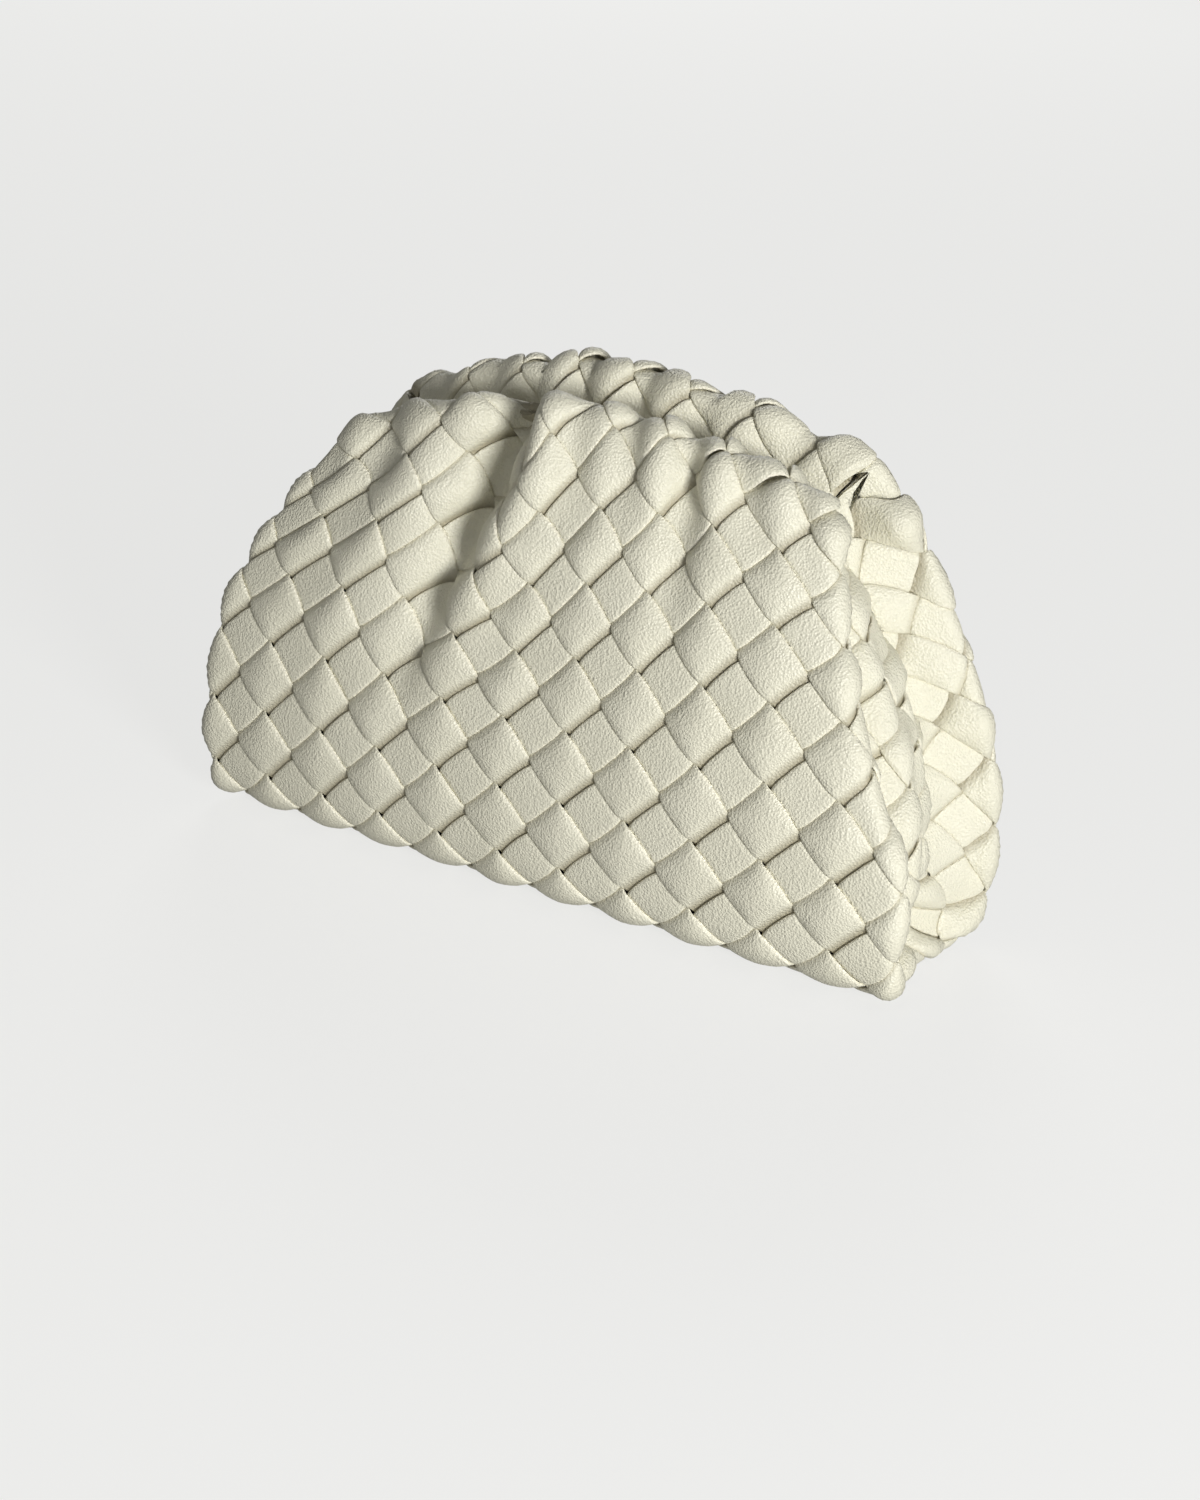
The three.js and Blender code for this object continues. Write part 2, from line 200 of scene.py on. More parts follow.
# Between which shares of the height the back lip rises, the ruffle grows and the ends sink.
BACK_RISES = (0.4, 1.0)
RUFFLE_RISES = (0.9, 1.0)
ENDS_DROP = (0.35, 1.1)
RIM_TURN = np.radians([10.0, 150.0])
RIM_INSET = RIM_ROUND * (1.0 - math.sin(RIM_TURN[0]))
GATHERS_END = stations[GATHERS_END_ROW]
GATHERS_FADE = stations[CREST_ROW - 2]


def mouth_drop(end):
    """How much the lips sink towards the left (-1) and the right (1) end."""
    return np.where(end < 0, MOUTH_DROP_LEFT, MOUTH_DROP_RIGHT)


def face_point(side, t, u):
    """Outer face of the front (side -1) or back (1), t up the profile, u from -1 to 1."""
    front = side < 0
    pinch = np.where(front & (u > 0), section(PINCH, t) * u * u, 0.0)
    x = (section(WIDTH, t) * BAG_WIDTH / 2 * (1.0 + pinch) - RIM_INSET) * u
    pushed = np.where(front, gather_depth(FRONT_GATHERS, t, x), gather_depth(BACK_GATHERS, t, x))
    out_of_mouth = 1.0 - smoothstep(GATHERS_FADE, GATHERS_END, t)
    half_depth = section(DEPTH, t) * BAG_DEPTH / 2
    crowned = half_depth * (1.0 - section(CROWN, t) * np.abs(u) ** 3)
    height = np.maximum(0.0, section(HEIGHT, t))
    rise = np.where(front, 0.0, BACK_LIP_RISE * smoothstep(*BACK_RISES, height))
    ruffle = GATHER_HEIGHT * smoothstep(*RUFFLE_RISES, height) * (1.0 - pushed / GATHER_FILL)
    drop = mouth_drop(u) * smoothstep(*ENDS_DROP, height) * u * u
    z = np.maximum(0.0, height * BAG_HEIGHT + rise - drop + ruffle)
    return np.stack([x + 0 * z, side * (crowned - pushed * out_of_mouth) + 0 * x, z], -1)


crest_middle = face_point(np.array(-1.0), CREST, np.array(0.0))
print("middle of the front lip:", crest_middle.round(1), "mm")

# %% [markdown]
# ## A tucked end
# At each end the sheet turns round the rim and folds its way in to the spine, the deepest
# line between front and back. Two tables, one for the front half and one for the back,
# give the folds as they lie at the base, the waist and the mouth. way is the share of the
# distance to the spine; the other columns are how far inside the rim the folds lie, as
# shares of the tuck's depth.

# %% Tables of an end's folds
FRONT_FOLDS = np.array([
    # way, base, waist, mouth
    (0.0, 0.085, 0.085, 0.085),
    (0.05, 0.17, 0.325, 0.2),
    (0.13, 0.23, 0.55, 0.325),
    (0.22, 0.28, 0.49, 0.38),
    (0.34, 0.33, 0.27, 0.38),
    (0.46, 0.38, 0.23, 0.39),
    (0.57, 0.42, 0.38, 0.43),
    (0.68, 0.46, 0.45, 0.48),
    (0.78, 0.5, 0.44, 0.53),
    (0.9, 0.55, 0.63, 0.58),
    (1.0, 0.58, 0.71, 0.6),
])
BACK_FOLDS = np.array([
    (0.0, 0.085, 0.085, 0.085),
    (0.05, 0.17, 0.17, 0.15),
    (0.13, 0.23, 0.23, 0.2),
    (0.22, 0.28, 0.3, 0.25),
    (0.34, 0.33, 0.41, 0.32),
    (0.46, 0.38, 0.51, 0.39),
    (0.57, 0.42, 0.59, 0.45),
    (0.68, 0.46, 0.65, 0.5),
    (0.78, 0.5, 0.69, 0.55),
    (0.9, 0.55, 0.72, 0.59),
    (1.0, 0.58, 0.71, 0.6),
])
print("folds of an end: %d rows in front, %d behind" % (len(FRONT_FOLDS), len(BACK_FOLDS)))

# %% [markdown]
# The tables are read at even steps from the rim to the spine. Past the spine the sheet runs
# on a few millimetres inwards, so that the strips end out of sight.

# %% Rows of an end
TUCK_DEPTH = 20.0
# Between which shares of the height the folds change from base to waist, and to mouth.
TO_WAIST = (0.04, 0.22)
TO_MOUTH = (0.55, 0.88)
TURN_STEPS = 10
FOLD_STEPS = 44
HIDDEN_STEPS = 8
HIDDEN_LENGTH = 9.0


def folds_inside(folds, way, height):
    """How far inside the rim the folds lie, at a share of the way and of the height."""
    base, waist, mouth = (through_knots(folds[:, 0], folds[:, k], way) for k in (1, 2, 3))
    at_waist = smoothstep(*TO_WAIST, height)
    at_mouth = smoothstep(*TO_MOUTH, height)
    body = base + (waist - base) * at_waist
    return TUCK_DEPTH * (body + (mouth - body) * at_mouth)


def end_rows(end, side, t):
    """Points from the rim (first) to the spine (last) for every t, for one end."""
    rim = face_point(side, t, np.full_like(t, float(end)))
    height = section(HEIGHT, t)
    spine_y = section(SET_BACK, t) * BAG_DEPTH / 2
    spine_z = section(SPINE, t) * BAG_HEIGHT - mouth_drop(end) * smoothstep(*ENDS_DROP, height)
    to_spine = np.stack([0 * t, spine_y - rim[..., 1], spine_z - rim[..., 2]], -1)
    distance = np.linalg.norm(to_spine, axis=-1)
    angle = np.linspace(*RIM_TURN, TURN_STEPS + 1)[None, 1:]
    turned = RIM_ROUND * (math.cos(RIM_TURN[0]) - np.cos(angle))
    share = np.linspace(0.0, 1.0, FOLD_STEPS + 1)[None, 1:]
    way = np.concatenate([
        turned + 0 * distance,
        turned[:, -1:] + share * (distance - turned[:, -1:]),
    ], 1)
    front_folds = folds_inside(FRONT_FOLDS, share, height)
    folds = np.where(side < 0, front_folds, folds_inside(BACK_FOLDS, share, height))
    inside = np.concatenate([RIM_ROUND * (1.0 - np.sin(angle)) + 0 * distance, folds], 1)
    points = rim + to_spine * (way / distance)[..., None]
    behind = face_point(np.ones_like(side), t, np.full_like(t, float(end)))
    to_back = np.where(side < 0, smoothstep(0.0, 1.0, way / distance), 0.0)
    outer = np.abs(rim[..., 0]) + (np.abs(behind[..., 0]) - np.abs(rim[..., 0])) * to_back
    points[..., 0] = end * (outer + RIM_INSET - inside)
    hidden = np.repeat(points[:, -1:], HIDDEN_STEPS, 1)
    hidden[..., 0] -= end * HIDDEN_LENGTH * np.linspace(1.0 / HIDDEN_STEPS, 1.0, HIDDEN_STEPS)
    return np.concatenate([points, hidden], 1)


print("an end:", TURN_STEPS + FOLD_STEPS, "steps from the rim to the spine")

# %% [markdown]
# ## The whole sheet
# The strips have to run on without a break from a face, round a rim and into an end. So
# every level of the sheet is joined into one long row, from spine to spine, and measured
# along its surface. The rows are then read at even steps. The result is a map: s is the
# way across the sheet from its middle and t the way along it, negative on the front.
# Past the crest a lip has no end to tuck, so its rows turn down beside it instead. Small
# pleats give both lips their ruffle.

# %% The ends and the ruffle of a lip
ENDS = TURN_STEPS + FOLD_STEPS + HIDDEN_STEPS
LIP_END_ROUND = 5.0
LIP_END_TURN = math.radians(105.0)
LIP_END_LENGTH = 24.0
LIP_END_STARTS = 9.0
PLEAT_PERIOD = 19.0
# Pleats begin below the crest, stand fully near it and fade into the mouth.
PLEAT_BELOW = 34.0
PLEAT_FULL = (-4.0, 10.0)
PLEAT_INTO_MOUTH = 26.0
PLEAT_FADES = 0.12
# They lean, and their spacing wanders along the lip.
FRONT_PLEAT_LEAN = 0.25
BACK_PLEAT_LEAN = 0.5
PLEAT_WANDER = 1.4
WANDER_LENGTH = 21.0
PLEAT_SINKS = 0.2
FRONT_PLEAT = 1.1
BACK_PLEAT = 2.0


def lip_end_rows(end, side, t):
    """A tucked end's rows, which past the crest turn down with the lip's own end."""
    tucked = end_rows(end, side, np.minimum(t, CREST))
    whole = np.full_like(t, float(end))
    rim = face_point(side, t, whole)
    tucked = tucked + rim - face_point(side, np.minimum(t, CREST), whole)
    way = np.linspace(0.0, LIP_END_LENGTH, ENDS + 1)[None, 1:] + 0 * t
    angle = np.minimum(way / LIP_END_ROUND, LIP_END_TURN)
    straight = way - angle * LIP_END_ROUND
    out = LIP_END_ROUND * np.sin(angle) + straight * np.cos(angle)
    down = LIP_END_ROUND * (1.0 - np.cos(angle)) + straight * np.sin(angle)
    turned = rim + np.stack([end * out, 0 * out, -down], -1)
    past = smoothstep(CREST, CREST + LIP_END_STARTS, t)[..., None]
    return tucked + (turned - tucked) * past


def pleat(side, t, x):
    """How far the pleats of a lip stand out, t up the profile and x across it."""
    up = smoothstep(CREST - PLEAT_BELOW, CREST + PLEAT_FULL[0], t)
    up = up * (1.0 - smoothstep(CREST + PLEAT_FULL[1], CREST + PLEAT_INTO_MOUTH, t))
    depth = np.where(side < 0, FRONT_PLEAT, BACK_PLEAT)
    bend = np.where(side < 0, FRONT_PLEAT_LEAN, BACK_PLEAT_LEAN) * (t - CREST)
    wander = np.sin(x / WANDER_LENGTH + side) * PLEAT_WANDER
    wave = np.sin(2 * np.pi * (x + bend) / PLEAT_PERIOD + wander)
    return depth * up * (wave - PLEAT_SINKS)


# %% Measure the sheet
SHEET_STEP = 0.8
FACE_STEPS = 400


def sheet_rows(t_signed):
    """Points of the sheet's rows, with where the rim and the spine lie in each."""
    t = np.abs(t_signed)[:, None]
    side = np.where(t_signed < 0, -1.0, 1.0)[:, None]
    u = np.linspace(-1.0, 1.0, FACE_STEPS + 1)[None, :]
    face = face_point(side, t, u)
    up, across = np.gradient(face, axis=0), np.gradient(face, axis=1)
    out = np.cross(up, across) * np.sign(np.median(np.diff(t_signed)))
    out /= np.maximum(1e-9, np.linalg.norm(out, axis=-1, keepdims=True))
    faded = smoothstep(0.0, PLEAT_FADES, 1.0 - np.abs(u))
    face = face + out * (pleat(side, t, face[..., 0]) * faded)[..., None]
    left = lip_end_rows(-1, side, t)[:, ::-1]
    right = lip_end_rows(1, side, t)
    return np.concatenate([left, face, right], 1)


sheet_t = np.linspace(-PROFILE, PROFILE, int(2 * PROFILE / SHEET_STEP) | 1)
rows = sheet_rows(sheet_t)
middle = ENDS + FACE_STEPS // 2
lengths = np.concatenate([
    np.zeros((len(rows), 1)),
    np.cumsum(np.linalg.norm(np.diff(rows, axis=1), axis=-1), 1),
], 1)
lengths -= lengths[:, middle:middle + 1]
rim_left, rim_right = lengths[:, ENDS], lengths[:, ENDS + FACE_STEPS]
reach = float(np.abs(lengths).max())
sheet_s = np.linspace(-reach, reach, int(2 * reach / SHEET_STEP) | 1)
sheet = np.empty((len(sheet_t), len(sheet_s), 3))
for i, (row, length) in enumerate(zip(rows, lengths)):
    for axis in range(3):
        sheet[i, :, axis] = np.interp(sheet_s, length, row[:, axis])
print("sheet: %.0f mm long, %.0f mm across" % (2 * PROFILE, 2 * reach))

# %% [markdown]
# The sheet ends at the spine of each end. Near the mouth the tucked ends stop a little
# short of the lips that roll over them, and the lips themselves have no ends to tuck.

# %% Where the sheet ends, and which way it faces
END_CLEAR = 6.0
TURN_LENGTH = 6.5


def sheet_limits(t, sign):
    """The sheet's own edge on the left (-1) or right (1), as a distance s."""
    rim = np.interp(t, sheet_t, rim_right if sign > 0 else -rim_left)
    spine = np.interp(t, sheet_t, lengths[:, -1] if sign > 0 else -lengths[:, 0])
    near_mouth = smoothstep(CREST - END_CLEAR, CREST, np.abs(t))
    return spine + (np.minimum(spine, rim + TURN_LENGTH) - spine) * near_mouth


along_t = np.gradient(sheet, sheet_t, axis=0)
along_s = np.gradient(sheet, sheet_s, axis=1)
facing = np.cross(along_t, along_s)


def read_map(values, s, t):
    """Values of a map of the sheet at every s and t, mixed from the four nearest."""
    i = (t - sheet_t[0]) / (sheet_t[1] - sheet_t[0])
    j = (s - sheet_s[0]) / (sheet_s[1] - sheet_s[0])
    i = np.clip(i, 0.0, len(sheet_t) - 1.001)
    j = np.clip(j, 0.0, len(sheet_s) - 1.001)
    i0, j0 = i.astype(int), j.astype(int)
    fi, fj = (i - i0)[..., None], (j - j0)[..., None]
    low = values[i0, j0] * (1 - fj) + values[i0, j0 + 1] * fj
    high = values[i0 + 1, j0] * (1 - fj) + values[i0 + 1, j0 + 1] * fj
    return low * (1 - fi) + high * fi


def on_sheet(s, t):
    """Points of the sheet's outer face and its outward directions."""
    t = np.clip(t, -PROFILE, PROFILE)
    s = np.clip(s, -sheet_limits(t, -1), sheet_limits(t, 1))
    inner = np.clip(s, 1.0 - sheet_limits(t, -1), sheet_limits(t, 1) - 1.0)
    out = read_map(facing, inner, t)
    out /= np.maximum(1e-9, np.linalg.norm(out, axis=-1, keepdims=True))
    return read_map(sheet, s, t), out


print("front lip: sheet reaches %.0f mm to the right" % sheet_limits(-CREST, 1))

# %% [markdown]
# ## The weave
# Two families of strips cross at right angles, on the slant to the bag. A strip is soft
# leather with folded edges, so it is a flat closed tube with round sides, a little fuller
# where it lies over than where it dips under its neighbours. The photograph shows one
# family fuller than the other, like small cushions between flatter squares.

# %% Sizes of the weave
# Size of a square across its corners, and width and thickness of a strip.
PERIOD = 20.0
STRIP = PERIOD / math.sqrt(2.0)
STRIP_THICK = 1.15
# Thickness of the solids' wall: the strips lie in its middle.
LEATHER = 2.4
MIDDLE = -LEATHER / 2
# How far along a cell the rings of a strip lie: closer together where it dips.
RING_PLACES = np.array([0.0, 0.06, 0.12, 0.19, 0.27, 0.38, 0.5, 0.62, 0.73, 0.81, 0.88, 0.94])
STYLE = {
    # over, under: height of the strip's middle; puff: crown of its cushions; wide and
    # narrow: half widths over and under; holds: how long it stays up; dives: how much
    # sooner than it rose it goes down again, which leaves a dark crevice there
    "rising": {
        "over": 0.3, "under": -0.85, "puff": 0.25,
        "wide": 6.3, "narrow": 5.7, "holds": 0.0, "dives": 0.0,
    },
    "falling": {
        "over": 0.8, "under": -0.95, "puff": 1.4,
        "wide": 7.85, "narrow": 7.2, "holds": 0.12, "dives": 0.1,
    },
}
# A strip's outline: how far out to the side, and how high, as shares.
OUTLINE = np.array([
    (-1.0, 0.0), (-0.985, 0.5), (-0.945, 0.85), (-0.88, 1.0),
    (-0.68, 1.0), (-0.42, 1.0), (-0.14, 1.0), (0.14, 1.0), (0.42, 1.0), (0.68, 1.0),
    (0.88, 1.0), (0.945, 0.85), (0.985, 0.5), (1.0, 0.0),
    (0.93, -0.8), (0.5, -1.0), (-0.5, -1.0), (-0.93, -0.8),
])
# How much a square's height, fullness, place and slant differ from the next one's.
HEIGHT_VARIES = 0.12
PUFF_VARIES = 0.3
PLACE_VARIES = 0.15
SLANT_VARIES = 0.18
# Between which heights of its wave a strip comes up, and grows to its full width.
COMES_UP = (-0.5, 0.42)
WIDENS = (-0.3, 0.9)
CELLS = 60
rng = np.random.default_rng(7)
unevenness = rng.uniform(-1.0, 1.0, (2, CELLS, CELLS, 4))
print("strips %.1f mm wide, squares %.0f mm across their corners" % (STRIP, PERIOD))

# %% [markdown]
# Near the mouth the gathers push the weave together and the deep fold swallows a part
# of it, so its squares lie a little off the even lattice there. The table gives by how
# much, in millimetres across and along the sheet.

# %% How the gathers push the weave
SLIPS = np.array([
    # s, across, along
    (-120.0, 0.0, -4.0),
    (-60.0, 1.0, -7.0),
    (-45.0, 1.0, -6.0),
    (-26.0, 5.0, 4.0),
    (15.0, 0.0, 0.0),
    (55.0, -5.5, -4.0),
    (80.0, -7.0, -4.0),
    (120.0, -7.0, -4.0),
])
# Between which heights, along the front from the base, the squares begin to slip.
SLIPS_GROW = (60.0, 140.0)
# Where a corner of the even lattice lies, fitted to the photograph.
SHIFT_S = 2.6
SHIFT_T = -30.0


def slipped(s, t):
    """Where a place of the even lattice lies on the front of the sheet."""
    grown = smoothstep(*SLIPS_GROW, -t)
    place = np.clip(s, SLIPS[0, 0], SLIPS[-1, 0])
    across = through_knots(SLIPS[:, 0], SLIPS[:, 1], place)
    along = through_knots(SLIPS[:, 0], SLIPS[:, 2], place)
    return s + grown * across, t + grown * along


def lattice(a, b):
    """The place on the sheet of a point of the lattice: a runs down, b up the strips."""
    return slipped((a + b) / math.sqrt(2.0) + SHIFT_S, (a - b) / math.sqrt(2.0) + SHIFT_T)


print("corner of the lattice:", [round(float(c), 1) for c in lattice(0.0, 0.0)], "mm on the sheet")

# %% [markdown]
# Along the mouth some strips have worked loose and stand off the others, and one stands
# off the right end like a belt loop. Each row tells where on the sheet, and by how much.

# %% Strips that stand off the others
RAISED = np.array([
    # s, t, lift
    (-44.0, 163.0, 1.8),
    (-22.0, 166.0, 2.2),
    (-7.0, 170.0, 2.4),
    (12.0, 164.0, 1.8),
    (36.0, 168.0, 2.2),
    (44.0, -168.0, 2.2),
    (60.0, -165.0, 2.8),
    (22.0, -170.0, 1.6),
    (93.0, 149.5, 5.0),
    (82.6, -157.0, 1.8),
])
RAISED_REACH = 8.5


def raised_by(s, t):
    """How far a loose strip stands off the others near the mouth."""
    total = 0.0
    for place_s, place_t, lift in RAISED:
        away = (s - place_s) ** 2 + (t - place_t) ** 2
        total = total + lift * np.exp(-away / RAISED_REACH**2)
    return total


print("loose strips:", len(RAISED))

# %% [markdown]
# A strip goes over one neighbour and under the next, so its height is a wave along it. Its
# section is swept along that wave: wide and crowned where it lies over, narrow and sunk
# where it dips. Chance numbers of a fixed seed make no two squares quite alike.

# %% Sweep one strip
def strip_points(family, number, run):
    """The tube of one strip along the given run of places, and its side and length maps."""
    style = STYLE[family]
    centre = (number + 0.5) * STRIP
    cell = np.floor(run / STRIP + 1e-6).astype(int)
    odd = (number + cell) % 2 == 1
    is_over = odd if family == "rising" else ~odd
    phase = run / STRIP - cell + np.where(is_over, 0.0, 1.0)
    wave = np.sin(np.pi * (phase + style["dives"] * np.sin(np.pi * phase / 2) ** 2))
    k = 0 if family == "rising" else 1
    first, second = (number, cell) if family == "rising" else (cell, number)
    chance = unevenness[k, first % CELLS, second % CELLS]
    held = smoothstep(COMES_UP[0] - style["holds"], COMES_UP[1] - style["holds"], wave)
    height = style["under"] + (style["over"] - style["under"]) * held
    over = np.maximum(0.0, wave)
    height = height + HEIGHT_VARIES * chance[:, 0] * over
    puff = style["puff"] * (1.0 + PUFF_VARIES * chance[:, 1]) * over**0.9
    side, level = OUTLINE[:, 0][None, :], OUTLINE[:, 1][None, :]
    half = style["narrow"] + (style["wide"] - style["narrow"]) * smoothstep(*WIDENS, wave)
    lateral = side * half[:, None] + PLACE_VARIES * chance[:, 2:3] * over[:, None]
    tilt = SLANT_VARIES * chance[:, 3:4] * side * over[:, None]
    crown = np.where(level >= 0, (1.0 - np.abs(side) ** 3) * puff[:, None], 0.0) + tilt
    raised = MIDDLE + height[:, None] + level * STRIP_THICK / 2 + crown
    along = run[:, None] + 0 * lateral
    a, b = (centre + lateral, along) if family == "rising" else (along, centre + lateral)
    s, t = lattice(a, b)
    point, out = on_sheet(s, t)
    raised = raised + raised_by(s, t) * over[:, None]
    sunk = (1.0 - held)[:, None] + 0 * lateral
    return point + out * raised[..., None], lateral / style["wide"], lateral, along, sunk


SHORTEST_RUN = 5


def strip_runs(family, number):
    """The stretches of a strip that lie on the sheet."""
    cells = np.arange(-CELLS // 2, CELLS // 2)
    run = ((cells[:, None] + RING_PLACES[None, :]) * STRIP).ravel()
    centre = (number + 0.5) * STRIP
    s, t = lattice(centre, run) if family == "rising" else lattice(run, centre)
    held = (np.abs(t) < PROFILE) & (s < sheet_limits(t, 1)) & (s > -sheet_limits(t, -1))
    edges = np.flatnonzero(np.diff(held.astype(int)))
    parts = np.split(np.arange(len(run)), edges + 1)
    return [run[part] for part in parts if held[part[0]] and len(part) >= SHORTEST_RUN]


print("stretches of the middle falling strip:", len(strip_runs("falling", 0)))

# %% [markdown]
# The strips of a family are joined into a few meshes, so that no mesh grows too large.
# Each tube is closed with a cap at both of its ends. The UV map holds the place across and
# along a strip in metres, for a finish that follows it. Two attributes tell the leather where
# a strip's folded edge is (painted highlight) and where it dips out of sight (painted shade).

# %% Weave the strips
UV_SPACING = 20.0


def tube_faces(family, rings, start):
    """Faces and the two caps of a tube whose first point has the number start."""
    wide = len(OUTLINE)
    ring = np.arange(rings - 1)[:, None] * wide
    here = np.arange(wide)[None, :]
    after = (here + 1) % wide
    quads = np.stack([ring + here, ring + after, ring + wide + after, ring + wide + here], -1)
    first = (np.arange(wide) + start).tolist()
    last = (np.arange(wide) + start + (rings - 1) * wide).tolist()
    if family == "rising":
        quads = quads[..., ::-1]
        caps = [first, last[::-1]]
    else:
        caps = [first[::-1], last]
    return (quads.reshape(-1, 4) + start).tolist() + caps


def strip_mesh(name, family, numbers):
    """One object holding several strips of a family."""
    vertices, faces, maps, edges, dip_shade_masks = [], [], [], [], []
    count = 0
    for number in numbers:
        for run in strip_runs(family, number):
            points, share, lateral, length, sunk = strip_points(family, number, run)
            vertices.append(points.reshape(-1, 3))
            edges.append(np.abs(share).ravel())
            dip_shade_masks.append(sunk.ravel())
            maps.append(np.stack([lateral.ravel() + UV_SPACING * number, length.ravel()], -1))
            faces += tube_faces(family, len(run), count)
            count += share.size
    mesh = bpy.data.meshes.new(name)
    mesh.from_pydata((np.concatenate(vertices) * MM).tolist(), [], faces)
    mesh.update()
    maps = np.concatenate(maps)
    layer = mesh.uv_layers.new(name="strip")
    corners = np.empty(len(mesh.loops), int)
    mesh.loops.foreach_get("vertex_index", corners)
    layer.data.foreach_set("uv", (maps[corners] * MM).ravel())
    # The edge attribute masks the painted highlight on the strips' folded edges.
    edge = mesh.attributes.new("edge", "FLOAT", "POINT")
    edge.data.foreach_set("value", np.concatenate(edges))
    # The sunk attribute masks the painted shade where a strip dips under its neighbour.
    dip_shade_mask = mesh.attributes.new("sunk", "FLOAT", "POINT")
    dip_shade_mask.data.foreach_set("value", np.concatenate(dip_shade_masks))
    mesh.polygons.foreach_set("use_smooth", np.ones(len(mesh.polygons), bool))
    piece = bpy.data.objects.new(name, mesh)
    bpy.context.scene.collection.objects.link(piece)
    triangles = sum(len(p.vertices) - 2 for p in mesh.polygons)
    print(name, "has", triangles, "triangles")
    return piece


strips = []
for family in ("rising", "falling"):
    for part, numbers in (("low", range(-CELLS // 2, -1)), ("high", range(-1, CELLS // 2))):
        strips.append(strip_mesh("%s_strips_%s" % (family, part), family, numbers))

# %% [markdown]
# ## The leather
# Soft pale calf has a fine pebble grain, a satin sheen and small differences of tone. A
# photograph of leather would show all that, but would repeat and stretch, so the grain is
# made of two small patterns in space. A painted highlight makes the folded edges paler, and
# painted shade darkens the leather where a strip dips under its neighbour.

# %% Grain of the leather
def pebble_grain(nodes, links, place, shader):
    """Small pebbles and the wrinkles between them, as bump."""
    grain = nodes.new("ShaderNodeTexVoronoi")
    grain.inputs["Scale"].default_value = 1500.0
    wrinkle = nodes.new("ShaderNodeTexNoise")
    wrinkle.inputs["Scale"].default_value = 1000.0
    wrinkle.inputs["Detail"].default_value = 3.0
    wrinkle.inputs["Distortion"].default_value = 1.0
    links.new(place.outputs["Object"], grain.inputs["Vector"])
    links.new(place.outputs["Object"], wrinkle.inputs["Vector"])
    both = nodes.new("ShaderNodeMath")
    both.operation = "MULTIPLY_ADD"
    both.inputs[1].default_value = 0.7
    links.new(wrinkle.outputs["Fac"], both.inputs[0])
    links.new(grain.outputs["Distance"], both.inputs[2])
    bump = nodes.new("ShaderNodeBump")
    bump.inputs["Strength"].default_value = 0.55
    bump.inputs["Distance"].default_value = 0.0005
    links.new(both.outputs["Value"], bump.inputs["Height"])
    links.new(bump.outputs["Normal"], shader.inputs["Normal"])


# %% Tones of the leather
def uneven_ivory(nodes, links, place):
    """Pale ivory that differs a little from place to place."""
    tone = nodes.new("ShaderNodeTexNoise")
    tone.inputs["Scale"].default_value = 35.0
    links.new(place.outputs["Object"], tone.inputs["Vector"])
    ramp = nodes.new("ShaderNodeValToRGB")
    ramp.color_ramp.elements[0].color = (0.71, 0.685, 0.545, 1)
    ramp.color_ramp.elements[1].color = (0.79, 0.765, 0.625, 1)
    links.new(tone.outputs["Fac"], ramp.inputs["Fac"])
    return ramp.outputs["Color"]


def tinted(nodes, links, colour, attribute, span, most, tint):
    """The colour, mixed towards a tint over a span of one of the strips' attributes."""
    reader = nodes.new("ShaderNodeAttribute")
    reader.attribute_name = attribute
    amount = nodes.new("ShaderNodeMapRange")
    amount.inputs["From Min"].default_value, amount.inputs["From Max"].default_value = span
    amount.inputs["To Max"].default_value = most
    links.new(reader.outputs["Fac"], amount.inputs["Value"])
    mixed = nodes.new("ShaderNodeMix")
    mixed.data_type = "RGBA"
    mixed.inputs["B"].default_value = tint
    links.new(amount.outputs["Result"], mixed.inputs["Factor"])
    links.new(colour, mixed.inputs["A"])
    return mixed.outputs["Result"]


# %% Leather
def leather_material():
    """Ivory calf leather with pebble grain, painted highlight on edges, painted shade in dips."""
    material = bpy.data.materials.new("ivory_leather")
    material.use_nodes = True
    nodes, links = material.node_tree.nodes, material.node_tree.links
    shader = nodes["Principled BSDF"]
    shader.inputs["Roughness"].default_value = 0.45
    shader.inputs["Specular IOR Level"].default_value = 0.5
    place = nodes.new("ShaderNodeTexCoord")
    pebble_grain(nodes, links, place, shader)
    colour = uneven_ivory(nodes, links, place)
    # Painted highlight: the strips' folded edges are painted paler, as where light catches them.
    colour = tinted(nodes, links, colour, "edge", (0.9, 0.98), 0.55, (0.86, 0.82, 0.68, 1))
    # Painted shade: the leather is painted darker where a strip dips under its neighbour, as in a
    # shadowed crevice.
    colour = tinted(nodes, links, colour, "sunk", (0.15, 0.85), 0.8, (0.36, 0.32, 0.21, 1))
    links.new(colour, shader.inputs["Base Color"])
    return material


leather = leather_material()
print("leather:", len(leather.node_tree.nodes), "nodes")

# %% Put the leather on
LEATHER_NODES = [
    "front_lip", "front_panel", "base", "back_panel", "back_lip",
    "tucked_end_right", "tucked_end_left",
]
for piece in strips:
    piece.data.materials.append(leather)
    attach(piece, "root")
    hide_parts(*LEATHER_NODES)
print(len(strips), "pieces of strips stand for", len(LEATHER_NODES), "solids")

# %% [markdown]
# ## The clasp bar
# A plain bar between the lips, hidden in use. The solid is right as it is, so it only
# gets its finish: a noise that is drawn out along the bar looks like brushing.

